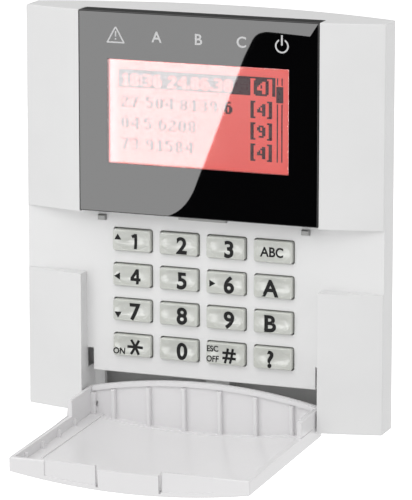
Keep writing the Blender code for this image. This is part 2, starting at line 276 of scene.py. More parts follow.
def front_drum(inset=0.0, length=140.0):
    """The arc of the front face, or one that far inside it."""
    radius = FRONT_RADIUS - inset
    return drum("front_arc", "Z", 0, FRONT_CROWN + FRONT_RADIUS, 0, radius, length, ROUND * 4)


def front_at(x):
    """How far forward the front face stands at that distance from the middle."""
    return FRONT_CROWN + FRONT_RADIUS - math.sqrt(FRONT_RADIUS ** 2 - x * x)


def back_drum(inset=0.0, length=140.0):
    radius = BACK_RADIUS - inset
    return drum("back_arc", "Z", 0, BACK_CROWN - BACK_RADIUS, 0, radius, length, ROUND * 3)


def bay_drum(reach):
    return drum("bay_arc", "Z", 0, reach - BAY_RADIUS, -57, BAY_RADIUS, 30, ROUND * 3)


def cover_cavity():
    """The space inside the cover: the lens, less the walls that stand in it."""
    half = HALF_WIDTH - WALL
    space = block("space", -half, half, -12.0, 30.0, -63.0, 63.0)
    carve(space, front_drum(WALL), operation="INTERSECT")
    carve(
        space,
        block("keep_plate", -61, 61, -20, WALL, GRIP_LOW - WALL, GRIP_HIGH + WALL),
        block("keep_recess", -41.9, 41.9, -20.5, WALL, -64, 2.2),
        block("keep_pocket", -42.15, 42.15, -19.5, 3.4, 0.1, 64),
        block("keep_notch_right", 36, 42.3, -19, 8.4, -52, -43.4),
        block("keep_notch_left", -42.3, -36, -19, 8.4, -52, -43.4),
    )
    bay_walls = block("keep_bay", -41.9, 41.9, -18, 14, -64.5, -50.4)
    carve(bay_walls, bay_drum(BAY_REACH + WALL), operation="INTERSECT")
    carve(space, bay_walls)
    return space


# Fine spark grain on ABS: even and softly satin, with no sharp reflections. The real grain is
# about a tenth of a millimetre; it is drawn coarser so that it shows.
white_abs = moulded("white moulded ABS, fine spark grain", "#E5E5E5", 0.42, 0.45, 0.006)

cover = block("cover_shell", -HALF_WIDTH, HALF_WIDTH, -12.0, 24.0, -HALF_HEIGHT, HALF_HEIGHT)
carve(cover, front_drum(), back_drum(), operation="INTERSECT")
clean(cover, 0.1)
round_off(cover, 0.9, 40.0, 4)
carve(cover, cover_cavity())
grips = join(
    block("grip_right", 39.0, 61, -20, 0, GRIP_LOW, GRIP_HIGH),
    block("grip_left", -61, -39.0, -20, 0, GRIP_LOW, GRIP_HIGH),
)
carve(cover, grips)
recess = block("recess", -RECESS_HALF, RECESS_HALF, -21, 0, -66, 1.0)
carve(cover, recess, block("pocket", -40.15, 40.15, -22, 1.4, 0.65, 66))
bay = block("bay", -RECESS_HALF, RECESS_HALF, -18, 14, -67, PLATE_FOOT)
carve(bay, bay_drum(BAY_REACH), operation="INTERSECT")
carve(cover, bay)
# The mouths open the notches and the bay into the dark inside of the case.
carve(
    cover,
    block("notch_right", 37.6, RECESS_HALF, -17, 6.6, -53, -45),
    block("notch_left", -RECESS_HALF, -37.6, -17, 6.6, -53, -45),
    block("notch_mouth_right", 37.8, RECESS_HALF, 6, 9.5, -51.7, -45.5),
    block("notch_mouth_left", -RECESS_HALF, -37.8, 6, 9.5, -51.7, -45.5),
    block("notch_side_right", 39.6, 43.5, 0.9, 7.5, -51.7, -45.5),
    block("notch_side_left", -43.5, -39.6, 0.9, 7.5, -51.7, -45.5),
    block("bay_mouth", -36.8, 36.8, 6.2, 14, -60, -52.0),
)
clean(cover)


def cheek_edge(a, b):
    """The edges of the raised cheeks beside the lid, and of the strips above the finger grips."""
    ends = (a, b)
    outside = all(abs(p.x) > 39.5 for p in ends)
    inner = all(
        abs(abs(p.x) - RECESS_HALF) < 0.3 and p.y < -3.5 and p.z < GRIP_LOW + 0.1 for p in ends
    )
    top = all(abs(p.z - GRIP_LOW) < 0.05 and p.y < -0.3 for p in ends)
    strip = all(abs(p.z - GRIP_HIGH) < 0.05 and p.y < -0.3 and abs(p.x) > 40.1 for p in ends)
    return outside and (inner or top or strip)


def key_hole_edge(a, b):
    return all(abs(p.y) < 0.02 and between(p.z, -48, -4) for p in (a, b)) and abs(a.x) < 31


def plate_foot_edge(a, b):
    return all(abs(p.z - PLATE_FOOT) < 0.02 and abs(p.y) < 0.02 for p in (a, b))


soften(cover, cheek_edge, 0.55, 4)
hole_wide = KEY_WIDE / 2 + KEY_GAP
hole_tall = KEY_TALL / 2 + KEY_GAP
key_holes = []
for row in KEY_ROWS:
    for column in KEY_COLUMNS:
        hole = block(
            "hole", column - hole_wide, column + hole_wide, -1, 3, row - hole_tall, row + hole_tall
        )
        soften(hole, lambda a, b: abs(a.y - b.y) > 1, 0.7, 3)
        key_holes.append(hole)
carve(cover, join(*key_holes))
carve(cover, block("display_hole", -35, 35, 0.5, 5, 11.5, 55))
for x in ICON_X:
    carve(cover, drum("light_hole", "Y", x, 2.4, ICON_Z, 2.2, 4.0, 24))
soften(cover, key_hole_edge, 0.25, 2)
soften(cover, plate_foot_edge, 0.35, 3)
carve(
    cover,
    drum("pin_right", "X", 40.3, HINGE_Y, HINGE_Z, 0.85, 2.6, 24),
    drum("pin_left", "X", -40.3, HINGE_Y, HINGE_Z, 0.85, 2.6, 24),
    block("latch_seat", -8.1, 8.1, -0.8, 1.3, -0.85, 0.35),
    block("tab_seat_right", 32.9, 35.7, -0.9, 1.3, -2.85, -1.05),
    block("tab_seat_left", -35.7, -32.9, -0.9, 1.3, -2.85, -1.05),
    drum("case_hole", "Z", 0, CASE_SCREW_Y, -64.5, 1.4, 4.0, 24),
    drum("case_head", "Z", 0, CASE_SCREW_Y, -65.0, 2.6, 3.0, 32),
)
shade(cover)
dress(cover, white_abs, "housing", "cover_white", "front_cover")


# ---- Rear base ------------------------------------------------------------------------
# The curved back plate, moulded in the same ABS but left a little duller. Its flat plinth
# stands on the wall, with two keyhole slots for the screws and a mouth for the cable.
PLINTH_HALF = 30.0
PLINTH_LOW = -55.0
PLINTH_HIGH = 58.0
CABLE_Z = -16.0
SCREW_ROWS = (42.0, -44.0)
SLOT_RISE = 9.5
SLOT_HALF = 2.2
HEAD_RADIUS = 4.2
RING_OUT, RING_IN = 3.2, 2.6
VENT_TALL = 1.2
# The inner half of the tool is left rougher, so the base looks flatter and a shade greyer.
dull_abs = moulded("white moulded ABS, coarse inner grain", "#E1E1E0", 0.52, 0.7, 0.012)

base = block("wall_plate", -57.7, 57.7, 5.0, 24.0, -62.7, 62.7)
carve(base, back_drum(), operation="INTERSECT")
plinth = block("plinth", -PLINTH_HALF, PLINTH_HALF, 14.0, PLATE_FROM_WALL, PLINTH_LOW, PLINTH_HIGH)
soften(plinth, lambda a, b: abs(a.y - b.y) > 1, 3.0, 5)
soften(plinth, lambda a, b: a.y > 21 and b.y > 21, 0.6, 3)
carve(base, plinth, operation="UNION")
hollow = block("hollow", -60, 60, -5.0, 24.0, -64, 64)
carve(hollow, back_drum(WALL, 150.0), operation="INTERSECT")
carve(base, hollow, block("plinth_hollow", -28, 28, 10, 19.4, -53, 56))
for side in (-1, 1):
    low, high = sorted((side * 17.3, side * 26.7))
    hook = block("hook", low, high, 13.8, 18.6, 60.4, 62.6)
    lug = block("lug", low + 0.3, high - 0.3, 13.9, 15.4, 61.0, 64.0)
    carve(base, hook, lug, operation="UNION")
screw_boss = block("boss", -4, 4, 12.9, 19.9, -62.4, -54)
carve(base, screw_boss, operation="UNION")
carve(base, drum("thread", "Z", 0, CASE_SCREW_Y, -59.25, 1.25, 7.5, 24))
for z in SCREW_ROWS:
    carve(base, drum("head_well", "Y", 0, 21.4, z + 2.5, 8.0, 1.2, 48))
    carve(base, drum("head_hole", "Y", 0, 20.5, z, HEAD_RADIUS, 5.0, 32))
    slot_end = drum("slot_end", "Y", 0, 20.5, z + SLOT_RISE, SLOT_HALF, 4.8, 24)
    carve(base, block("slot", -SLOT_HALF, SLOT_HALF, 18.5, 23.5, z, z + SLOT_RISE), slot_end)
mouth = block("mouth", -11, 11, 17.5, 24, CABLE_Z - 7, CABLE_Z + 7)
soften(mouth, lambda a, b: abs(a.y - b.y) > 1, 2.0, 5)
carve(base, mouth)
label_seat = block("label_seat", -19, 19, 21.1, 22, 8, 30)
soften(label_seat, lambda a, b: abs(a.y - b.y) > 0.5, 1.2, 3)
carve(base, label_seat)
# Thin rings mark round knock-outs for surface cables, each square to the sloping back.
for x in (-44.0, 44.0):
    y = BACK_CROWN - BACK_RADIUS + math.sqrt(BACK_RADIUS ** 2 - x * x)
    for z in (-46.0, 0.0, 46.0):
        ring = drum("knockout", "Y", x, y, z, RING_OUT, 1.0, 32)
        carve(ring, drum("core", "Y", x, y, z, RING_IN, 3.0, 32))
        middle = Matrix.Translation(place(x, y, z))
        lean = Matrix.Rotation(-math.asin(x / BACK_RADIUS), 4, "Z")
        ring.data.transform(middle @ lean @ middle.inverted())
        carve(base, ring)
for z in (-31.0, -21.0, -11.0):
    for low, high in ((37, 50), (-50, -37)):
        carve(base, block("vent", low, high, 8, 24, z, z + VENT_TALL))
clean(base)


def mouth_edge(a, b):
    return all(p.y > 21.3 and abs(p.z - CABLE_Z) < 7.2 and abs(p.x) < 11.2 for p in (a, b))


soften(base, mouth_edge, 0.4, 2)
shade(base)
dress(base, dull_abs, "housing", "base_white", "rear_base")

# Polyester label film, left blank: an even grey with a soft sheen.
label = block("blank_label", -18.4, 18.4, 21.1, 21.18, 8.6, 29.4)
soften(label, lambda a, b: abs(a.y - b.y) > 0.05, 1.0, 3)
label_paper = moulded("silver polyester label, left blank", "#C9CACB", 0.33, 0.12, 0.002)
dress(label, label_paper, "housing", "base_white")


# ---- Display block --------------------------------------------------------------------
# A black acrylic block with a polished face, let into the cover and flush with its top. A
# clear window is set into it, and its edges are rounded by about 0.4 mm.
BEZEL_HALF = 40.0
BEZEL_FACE = -5.2
WINDOW_HALF = 30.2
WINDOW_LOW = 16.8
WINDOW_HIGH = 50.0


def polished(name, colour, ior=1.49):
    """Mirror-polished acrylic: long faint waves in the gloss and no grain."""
    mat, tree, shader = new_material(name)
    where = add_node(tree, "ShaderNodeTexCoord").outputs["Object"]
    flow = add_node(
        tree, "ShaderNodeTexNoise", {"Vector": where, "Scale": 1 / (25 * MM), "Detail": 1.0}
    )
    gloss = add_node(
        tree, "ShaderNodeMapRange", {"Value": flow.outputs["Fac"], "To Min": 0.0, "To Max": 0.02}
    )
    tree.links.new(gloss.outputs["Result"], shader.inputs["Roughness"])
    shader.inputs["Base Color"].default_value = linear(colour)
    shader.inputs["IOR"].default_value = ior
    return mat


# Deep black under a mirror polish, which shows the studio lights.
black_acrylic = polished("black acrylic, polished", "#060607")

bezel = block("display_block", -BEZEL_HALF, BEZEL_HALF, BEZEL_FACE, 1.2, 0.8, HALF_HEIGHT)
soften(bezel, lambda a, b: abs(a.y - b.y) > 1, 0.35, 3)
soften(bezel, lambda a, b: a.y < -5.1 and b.y < -5.1, 0.45, 2)
carve(bezel, block("window_hole", -WINDOW_HALF, WINDOW_HALF, -9, 0, WINDOW_LOW, WINDOW_HIGH))
carve(bezel, block("back_hollow", -34.5, 34.5, -3.6, 3, 12, 54.4))
shade(bezel)
dress(bezel, black_acrylic, "housing", "bezel_black", "display_bezel")

# Clear and just as glossy, so that the display shows through the same reflections.
clear_pane = polished("clear polycarbonate, polished", "#FFFFFF", 1.58)
clear_pane.node_tree.nodes["Principled BSDF"].inputs["Transmission Weight"].default_value = 1.0
window = block("display_pane", -WINDOW_HALF, WINDOW_HALF, BEZEL_FACE, -3.75, WINDOW_LOW, WINDOW_HIGH)
soften(window, lambda a, b: a.y < -5.1 and b.y < -5.1, 0.12, 2)
dress(window, clear_pane, "housing", "window_clear", "display_window")


# ---- Liquid crystal display -----------------------------------------------------------
# A dot-matrix panel lit red from behind by its light guide. It shows a menu of four rows;
# the rows hold plain figures here, the first one picked out, with a scroll bar beside them.
GLASS_FACE = -3.4
DOT = 0.55
ROW_TOPS = (45.5, 38.5, 31.7, 25.0)
ROW_FIGURES = ("18:36 24.06.30", "27 504 8139 6", "04.5 6208", "73 91584")
LEVELS = ("[4]", "[4]", "[9]", "[4]")
TEXT_LEFT = -26.2
LEVEL_LEFT = 17.2
FIGURES = {
    "0": "01110 11011 11011 11011 11011 11011 01110", "1": "00110 01110 00110 00110 00110 00110 01111",
    "2": "01110 11011 00011 00110 01100 11000 11111", "3": "11110 00011 00011 01110 00011 00011 11110",
    "4": "00011 00111 01011 11011 11111 00011 00011", "5": "11111 11000 11110 00011 00011 11011 01110",
    "6": "01110 11000 11110 11011 11011 11011 01110", "7": "11111 00011 00110 00110 01100 01100 01100",
    "8": "01110 11011 11011 01110 11011 11011 01110", "9": "01110 11011 11011 01111 00011 00011 01110",
    ".": "0 0 0 0 0 1 1", ":": "0 1 1 0 1 1 0", " ": "00 00 00 00 00 00 00",
    "[": "111 110 110 110 110 110 110 110 110 111", "]": "111 011 011 011 011 011 011 011 011 111",
}


def figure_runs(text, left, top):
    """Each run of dark dots as x0, x1, z0, z1; brackets start higher."""
    runs = []
    for sign in text:
        rows = FIGURES[sign].split()
        lift = 1.6 * DOT if len(rows) > 7 else 0.0
        for step, row in enumerate(rows):
            high = top + lift - step * DOT
            start = None
            for column, dot in enumerate(row + "0"):
                if dot == "1" and start is None:
                    start = column
                if dot == "0" and start is not None:
                    runs.append((left + start * DOT, left + column * DOT, high - DOT, high))
                    start = None
        left += (len(rows[0]) + 1) * DOT
    return runs


def print_runs(name, runs, front, thick, material, slot, *stands_for):
    """Flat marks joined into one piece, each a thin closed block."""
    marks = [block("mark", x0, x1, front, front + thick, z0, z1) for x0, x1, z0, z1 in runs]
    piece = join(*marks)
    piece.name = name
    return dress(piece, material, "housing", slot, *stands_for)


def glowing(name, colour, strength):
    """Light coming through a tinted film, turning paler pink at its left edge as a painted reflection
    of the softbox.
    """
    mat, tree, shader = new_material(name)
    where = add_node(tree, "ShaderNodeTexCoord").outputs["Object"]
    across = add_node(tree, "ShaderNodeSeparateXYZ", {"Vector": where}).outputs["X"]
    # Painted reflection: over its left 4 mm the film glows paler pink, standing in for the softbox
    # reflected in the window.
    painted_left_reflection = add_node(
        tree, "ShaderNodeMapRange",
        {"Value": across, "From Min": -30 * MM, "From Max": -26 * MM, "To Min": 1.0, "To Max": 0.0},
        interpolation_type="SMOOTHSTEP",
    )
    haze = add_node(
        tree, "ShaderNodeTexNoise", {"Vector": where, "Scale": 1 / (14 * MM), "Detail": 1.0}
    )
    body = add_node(
        tree, "ShaderNodeMix",
        {"Factor": haze.outputs["Fac"], MIX_A: linear(colour), MIX_B: linear("#EA6660")},
        data_type="RGBA",
    )
    lit = add_node(
        tree, "ShaderNodeMix",
        {"Factor": painted_left_reflection.outputs["Result"], MIX_A: body.outputs[MIXED], MIX_B: linear("#F08A8C")},
        data_type="RGBA",
    )
    tree.links.new(lit.outputs[MIXED], shader.inputs["Emission Color"])
    shader.inputs["Emission Strength"].default_value = strength
    shader.inputs["Base Color"].default_value = linear("#3A0A0C")
    shader.inputs["Roughness"].default_value = 0.25
    return mat


lit_film = glowing("tinted display film, lit from behind", "#E25C57", 0.95)
for name in ("lcd_panel", "lcd_backlight"):
    nodes[name].data.materials.clear()
    nodes[name].data.materials.append(lit_film)

# Switched-on crystal: dark wine-coloured dots over the red light.
dark_crystal = moulded("dark liquid crystal, switched on", "#3A0D1C", 0.3, 0.5, 0.0, 0.0)
dark_runs = [(TEXT_LEFT - 1.5 * DOT, 25.4, 41.0, 46.9)]
for text, level, top in list(zip(ROW_FIGURES, LEVELS, ROW_TOPS))[1:]:
    dark_runs += figure_runs(text, TEXT_LEFT, top) + figure_runs(level, LEVEL_LEFT, top)
dark_runs += [(25.7, 28.0, 39.1, 44.2)]  # the scroll bar, then the two lines it runs between
for x in (25.9, 27.4):
    dark_runs += [(x, x + 0.4, 44.6, 46.9), (x, x + 0.4, 20.4, 38.7)]
print_runs("display_dots", dark_runs, GLASS_FACE - 0.08, 0.06, dark_crystal, "display_glass")
clear_runs = figure_runs(ROW_FIGURES[0], TEXT_LEFT, ROW_TOPS[0])
clear_runs += figure_runs(LEVELS[0], LEVEL_LEFT, ROW_TOPS[0])
print_runs("display_dots_clear", clear_runs, GLASS_FACE - 0.12, 0.04, lit_film, "display_glass")


# ---- Indicator signs ------------------------------------------------------------------
# Clear outlines left in the block's black print, each over the milky end of a light pipe:
# a warning triangle, three section letters and a power sign, unlit and pale grey.
# Milky polycarbonate, unlit: pale grey and a little cloudy.
milky = moulded("milky polycarbonate light pipe", "#C4C4C5", 0.35, 0.6, 0.001)
SIGN_FACE = BEZEL_FACE - 0.03
SIGN_THICK = 0.06


def lettering(name, text, x, z, cap, front, thick, weight=0.0, widen=1.0):
    """Flat letters as a mesh, centred on x, z with capitals cap high, reaching back from front."""
    deselect()
    bpy.ops.object.text_add()
    obj = bpy.context.object
    obj.data.body = text
    obj.data.size = cap * MM / 0.70
    obj.data.offset = weight * MM
    obj.data.extrude = thick / 2 * MM
    obj.data.resolution_u = 8
    obj.name = name
    work_on(obj)
    bpy.ops.object.convert(target="MESH")
    xs = [v.co.x for v in obj.data.vertices]
    ys = [v.co.y for v in obj.data.vertices]
    middle = Vector(((min(xs) + max(xs)) / 2, (min(ys) + max(ys)) / 2, 0.0))
    stand = Matrix.Rotation(math.pi / 2, 4, "X") @ Matrix.Diagonal((widen, 1.0, 1.0, 1.0))
    spot = Matrix.Translation(place(x, front + thick / 2, z))
    obj.data.transform(spot @ stand @ Matrix.Translation(-middle))
    return obj


def bars(name, strokes, width, front, thick):
    """Straight strokes from point to point, each a thin block turned along its line, all united."""
    pieces = []
    for (x0, z0), (x1, z1) in strokes:
        run = math.hypot(x1 - x0, z1 - z0)
        bar = block("bar", -run / 2, run / 2, front, front + thick, -width / 2, width / 2)
        turn = Matrix.Rotation(-math.atan2(z1 - z0, x1 - x0), 4, "Y")
        move = Matrix.Translation(Vector(((x0 + x1) / 2 * MM, 0, (z0 + z1) / 2 * MM)))
        bar.data.transform(move @ turn)
        pieces.append(bar)
    whole = pieces[0]
    carve(whole, *pieces[1:], operation="UNION")
    whole.name = name
    return whole


x = ICON_X[0]
triangle = bars(
    "sign_alert",
    [((x - 2.75, 55.3), (x + 2.75, 55.3)), ((x - 2.9, 55.1), (x, 60.2)), ((x + 2.9, 55.1), (x, 60.2)),
     ((x, 57.1), (x, 58.9)), ((x, 56.1), (x, 56.6))],
    0.45, SIGN_FACE, SIGN_THICK,
)
dress(triangle, milky, "housing", "light_pipe", "icon_light_alert")
for letter, x in zip("ABC", ICON_X[1:4]):
    sign = lettering("sign_" + letter.lower(), letter, x, 57.7, 3.4, SIGN_FACE, SIGN_THICK, 0.07)
    dress(sign, milky, "housing", "light_pipe", "icon_light_" + letter.lower())
x = ICON_X[4] - 0.5
ring = drum("sign_power", "Y", x, SIGN_FACE + SIGN_THICK / 2, 57.2, 2.25, SIGN_THICK, 48)
carve(ring, drum("ring_hole", "Y", x, SIGN_FACE, 57.2, 1.75, 1.0, 48))
carve(ring, block("ring_gap", x - 0.95, x + 0.95, -6, -4, 57.6, 62))
ring_bar = block("ring_bar", x - 0.28, x + 0.28, SIGN_FACE, SIGN_FACE + SIGN_THICK, 57.4, 60.6)
carve(ring, ring_bar, operation="UNION")
dress(ring, milky, "housing", "light_pipe", "icon_light_power")


# ---- Keys -----------------------------------------------------------------------------
# Sixteen caps moulded in translucent grey-green plastic, each with a shallow oval dish in
# its top that catches the light, and a printed sign. Each is pressed back on its own.
KEY_TOP = -1.55
DISH_LONG, DISH_DEEP, DISH_TALL = 11.7, 4.0, 6.3
DISH_LIFT = 3.45
KEY_NAMES = (
    ("key_1", "key_2", "key_3", "key_abc"),
    ("key_4", "key_5", "key_6", "key_a"),
    ("key_7", "key_8", "key_9", "key_b"),
    ("key_star", "key_0", "key_hash", "key_help"),
)
KEY_SIGNS = (("1", "2", "3", "ABC"), ("4", "5", "6", "A"), ("7", "8", "9", "B"), ("*", "0", "#", "?"))


def key_plastic():
    """Thin milky plastic under a gloss coat: light glows a little inside it, and the dish shines."""
    mat = moulded("translucent grey key plastic, satin", "#CBCDC7", 0.24, 0.9, 0.0015, 0.05)
    shader = mat.node_tree.nodes["Principled BSDF"]
    shader.inputs["Subsurface Weight"].default_value = 0.35
    shader.inputs["Subsurface Scale"].default_value = 1.5 * MM
    shader.inputs["Subsurface Radius"].default_value = (1.0, 1.0, 0.9)
    shader.inputs["Coat Weight"].default_value = 0.5
    shader.inputs["Coat Roughness"].default_value = 0.08
    return mat


def dish(across, up):
    """How far the dish sinks below the key's top at that distance from its middle."""
    inside = 1 - (across / DISH_LONG) ** 2 - (up / DISH_TALL) ** 2
    return max(0.0, math.sqrt(max(0.0, inside)) * DISH_DEEP - DISH_LIFT)


key_finish = key_plastic()
# Printed ink: matte black, which does not shine with the dish.
key_ink = moulded("black key ink, matte", "#050505", 0.6, 0.3, 0.001, 0.03, 1.35)
master = block("cap", -KEY_WIDE / 2, KEY_WIDE / 2, KEY_TOP, 3.1, -KEY_TALL / 2, KEY_TALL / 2)
soften(master, lambda a, b: abs(a.y - b.y) > 1, 0.8, 5)
soften(master, lambda a, b: a.y < KEY_TOP + 0.01 and b.y < KEY_TOP + 0.01, 0.4, 4)
deselect()
bpy.ops.mesh.primitive_uv_sphere_add(
    segments=72, ring_count=48, radius=MM, location=place(0, KEY_TOP - DISH_LIFT, 0)
)
bowl = bpy.context.object
bowl.scale = (DISH_LONG, DISH_DEEP, DISH_TALL)
settle(bowl, "bowl")
carve(master, bowl)
shade(master, 24.0)


def sink_into_dish(obj, column, row):
    """Cuts the print finely and lets it follow the dish of its key."""
    work_on(obj)
    bpy.ops.object.mode_set(mode="EDIT")
    bpy.ops.mesh.select_all(action="SELECT")
    bpy.ops.mesh.quads_convert_to_tris()
    bpy.ops.mesh.subdivide(number_cuts=3)
    bpy.ops.object.mode_set(mode="OBJECT")
    for vert in obj.data.vertices:
        point = drawn(vert.co)
        vert.co.y += dish(point.x - column, point.z - row) * MM


def key_print(name, column, row, node):
    """The sign or signs on one key."""
    front, thick = KEY_TOP - 0.04, 0.06
    sign = KEY_SIGNS[KEY_ROWS.index(row)][KEY_COLUMNS.index(column)]
    made = []
    if sign == "*":
        x, z, reach = column + 1.0, row - 0.4, 2.7
        arms = []
        for turn in (0, 60, 120):
            dx, dz = reach * math.cos(math.radians(turn)), reach * math.sin(math.radians(turn))
            arms.append(((x - dx, z - dz), (x + dx, z + dz)))
        made.append(bars("star", arms, 0.85, front, thick))
        made.append(lettering("on", "ON", column - 4.4, row - 1.9, 1.9, front, thick, 0.07, 0.95))
    elif sign == "#":
        x, z = column + 1.2, row - 0.5
        lines = []
        for side in (-0.85, 0.85):
            lines.append(((x + side - 0.45, z - 2.4), (x + side + 0.45, z + 2.4)))
            lines.append(((x - 2.3, z + side), (x + 2.3, z + side)))
        made.append(bars("hash", lines, 0.8, front, thick))
        made.append(lettering("esc", "ESC", column - 4.3, row + 1.5, 1.9, front, thick, 0.06, 0.86))
        made.append(lettering("off", "OFF", column - 4.3, row - 1.8, 1.9, front, thick, 0.06, 0.86))
    elif sign == "1":
        x, z = column + 1.3, row - 0.2
        lines = [((x, z - 2.45), (x, z + 2.45)), ((x - 1.3, z + 1.35), (x, z + 2.0))]
        made.append(bars("one", lines, 1.0, front, thick))
    elif sign == "4":
        x, z = column + 1.2, row - 0.2
        lines = [((x + 0.7, z - 2.45), (x + 0.7, z + 2.45)), ((x - 1.75, z - 1.0), (x + 1.75, z - 1.0))]
        lines.append(((x - 1.45, z - 0.9), (x + 0.6, z + 2.1)))
        made.append(bars("four", lines, 0.95, front, thick))
    elif sign == "ABC":
        made.append(lettering("abc", sign, column - 0.5, row - 0.2, 3.0, front, thick, 0.1, 0.92))
    else:
        shift = -0.9 if sign in "AB?" else 1.1
        made.append(lettering("sign", sign, column + shift, row - 0.35, 5.1, front, thick, 0.24, 1.0))
    arrows = {"1": (0, 0.7), "4": (90, -0.4), "6": (-90, -0.3), "7": (180, -1.3)}
    if sign in arrows:
        turn, lift = arrows[sign]
        deselect()
        bpy.ops.mesh.primitive_cylinder_add(vertices=3, radius=1.3 * MM, depth=thick * MM)
        arrow = settle(bpy.context.object, "arrow")
        upright = Matrix.Rotation(math.pi / 2, 4, "X")
        spin = Matrix.Rotation(math.radians(-turn), 4, "Y")
        spot = place(column - 4.7, front + thick / 2, row + lift)
        arrow.data.transform(Matrix.Translation(spot) @ spin @ upright)
        made.append(arrow)
    whole = join(*made)
    whole.name = name
    sink_into_dish(whole, column, row)
    return dress(whole, key_ink, node, "key_grey")


for names, row in zip(KEY_NAMES, KEY_ROWS):
    for node_name, column in zip(names, KEY_COLUMNS):
        cap = master.copy()
        cap.data = master.data.copy()
        cap.name = node_name.replace("key", "cap")
        bpy.context.scene.collection.objects.link(cap)
        cap.data.transform(Matrix.Translation((column * MM, 0, row * MM)))
        dress(cap, key_finish, node_name, "key_grey", node_name)
        key_print(node_name.replace("key", "print"), column, row, node_name)
bpy.data.objects.remove(master, do_unlink=True)


# ---- Lid ------------------------------------------------------------------------------
# One thin ABS moulding, smoother than the cover: a curved panel with side walls, a foot
# that swings into the bay, and stiffening ribs. It is shaped shut, then turned open.
LID_HALF = 39.4
LID_TOP = 0.3
LID_RIM = -0.5
LID_SKIN = 1.6
ARM_TOP = -46.2
ARM_RIM = 4.8
FOOT_RADIUS = 174.0
FOOT_REACH = 9.2
FOOT_FACE = -63.4
OPEN_ANGLE = 92.0
# The same ABS from a smoother tool, with a soft sheen on the floor. Its colour is painted a shade
# lighter than the cover's, as painted light on the open lid.
smooth_abs_painted_light = moulded("white moulded ABS, smooth, painted lighter", "#E9E8E9", 0.21, 0.4, 0.001, 0.01)


def foot_drum(inset=0.0):
    radius = FOOT_RADIUS - inset
    return drum("foot_arc", "Z", 0, FOOT_REACH - FOOT_RADIUS, -60, radius, 30, ROUND * 3)


lid = block("lid_tray", -LID_HALF, LID_HALF, -12, LID_RIM, -65, LID_TOP)
carve(lid, front_drum(), operation="INTERSECT")
arm_right = block("arm", 36.0, LID_HALF, -4.3, ARM_RIM, -65, ARM_TOP)
arm_left = block("arm", -LID_HALF, -36.0, -4.3, ARM_RIM, -65, ARM_TOP)
foot = block("foot", -LID_HALF, LID_HALF, -4.0, 12, -65, -62.0)
carve(foot, foot_drum(), operation="INTERSECT")
carve(lid, arm_right, arm_left, foot, operation="UNION")
inside = block("inside", -LID_HALF + 1.5, LID_HALF - 1.5, -12, 20, FOOT_FACE, -0.9)
carve(inside, front_drum(LID_SKIN), operation="INTERSECT")
carve(lid, inside)
clean(lid, 0.05)


def outer(point):
    return abs(point.x) > LID_HALF - 0.05 or point.z < -64.95 or point.z > LID_TOP - 0.05


soften(lid, lambda a, b: outer(a) and outer(b), 0.4, 4)
rim = block("rim", -LID_HALF + 1.6, LID_HALF - 1.6, 0.0, 12, -65 + 0.6, FOOT_FACE + 0.7)
carve(rim, foot_drum(0.15), operation="INTERSECT")
carve(rim, foot_drum(1.5))
carve(lid, rim, operation="UNION")
border = block("border", -34.4, 34.4, -12, 0, -60.9, -60.3)
carve(border, front_drum(LID_SKIN - 0.3), operation="INTERSECT")
carve(border, front_drum(LID_SKIN + 0.35))
carve(lid, border, operation="UNION")
for side in (-1, 1):
    for x in (6.1, 18.2, 30.3):
        x = side * x
        reach = FOOT_REACH - x * x / (2 * FOOT_RADIUS) - 1.9
        rib = block("rib", x - 0.7, x + 0.7, front_at(x) + 0.9, reach, -63.9, -61.7)
        soften(rib, lambda a, b: a.z > -62 and b.z > -62, 0.35, 3)
        carve(lid, rib, operation="UNION")
    for z in (-8.5, -21.5, -34.5, -47.5):
        low, high = sorted((side * 36.9, side * 38.2))
        stub = block("stub", low, high, front_at(37) + 0.9, -1.5, z - 0.5, z + 0.5)
        carve(lid, stub, operation="UNION")
    low, high = sorted((side * 33.9, side * 34.5))
    ridge_y = front_at(34.2) + LID_SKIN
    ridge = block("ridge", low, high, ridge_y - 0.3, ridge_y + 0.35, -63.5, -13.0)
    carve(lid, ridge, operation="UNION")
    low, high = sorted((side * 36.4, side * 38.2))
    column = block("column", low, high, front_at(36.4) + 0.9, 3.2, -63.6, -61.6)
    carve(lid, column, operation="UNION")
    low, high = sorted((side * 10.7, side * 27.7))
    panel = block("panel", low, high, -12, 0.2, LID_TOP - 0.45, LID_TOP + 1)
    carve(panel, front_drum(1.5), operation="INTERSECT")
    carve(lid, panel)
    low, high = sorted((side * 9.9, side * 10.7))
    carve(lid, block("slit", low, high, -7.4, 2, -2, 2))
carve(lid, block("tongue_edge", -10.1, 10.1, -1.75, 1, -2.5, 1.5))
for x in (-39, 39):
    carve(lid, drum("eye", "X", x, HINGE_Y, HINGE_Z, 0.85, 6.0, 24))
clean(lid, 0.05)
soften(lid, lambda a, b: all(abs(p.y - LID_RIM) < 0.02 for p in (a, b)), 0.22, 2)
hinge = place(0, HINGE_Y, HINGE_Z)
turn = Matrix.Rotation(math.radians(OPEN_ANGLE), 4, "X")
lid.data.transform(Matrix.Translation(hinge) @ turn @ Matrix.Translation(-hinge))
shade(lid)
dress(lid, smooth_abs_painted_light, "lid", "lid_white", "lid")


# ---- Catch, light tabs and hinge pins -------------------------------------------------
# A grey acetal catch under the display block holds the lid shut, and two short grey light
# guides stand beside it. The lid turns on two steel pins pressed into the cover.
# Acetal: mid grey, with the waxy sheen of a hard plastic.
grey_acetal = moulded("grey acetal, satin", "#A3A3A2", 0.38, 0.5, 0.002)
catch = block("lid_catch", -8, 8, -1.4, 1.2, -0.75, 0.25)
soften(catch, lambda a, b: a.y < -1.3 and b.y < -1.3, 0.25, 3)
shade(catch)
dress(catch, grey_acetal, "housing", "grey_plastic", "latch_bar")
for name, x in (("light_tab_left", -34.3), ("light_tab_right", 34.3)):
    tab = block(name.replace("tab", "guide"), x - 1.3, x + 1.3, -1.2, 1.2, -2.75, -1.15)
    soften(tab, lambda a, b: a.y < -1.1 and b.y < -1.1, 0.3, 3)
    shade(tab)
    dress(tab, grey_acetal, "housing", "grey_plastic", name)


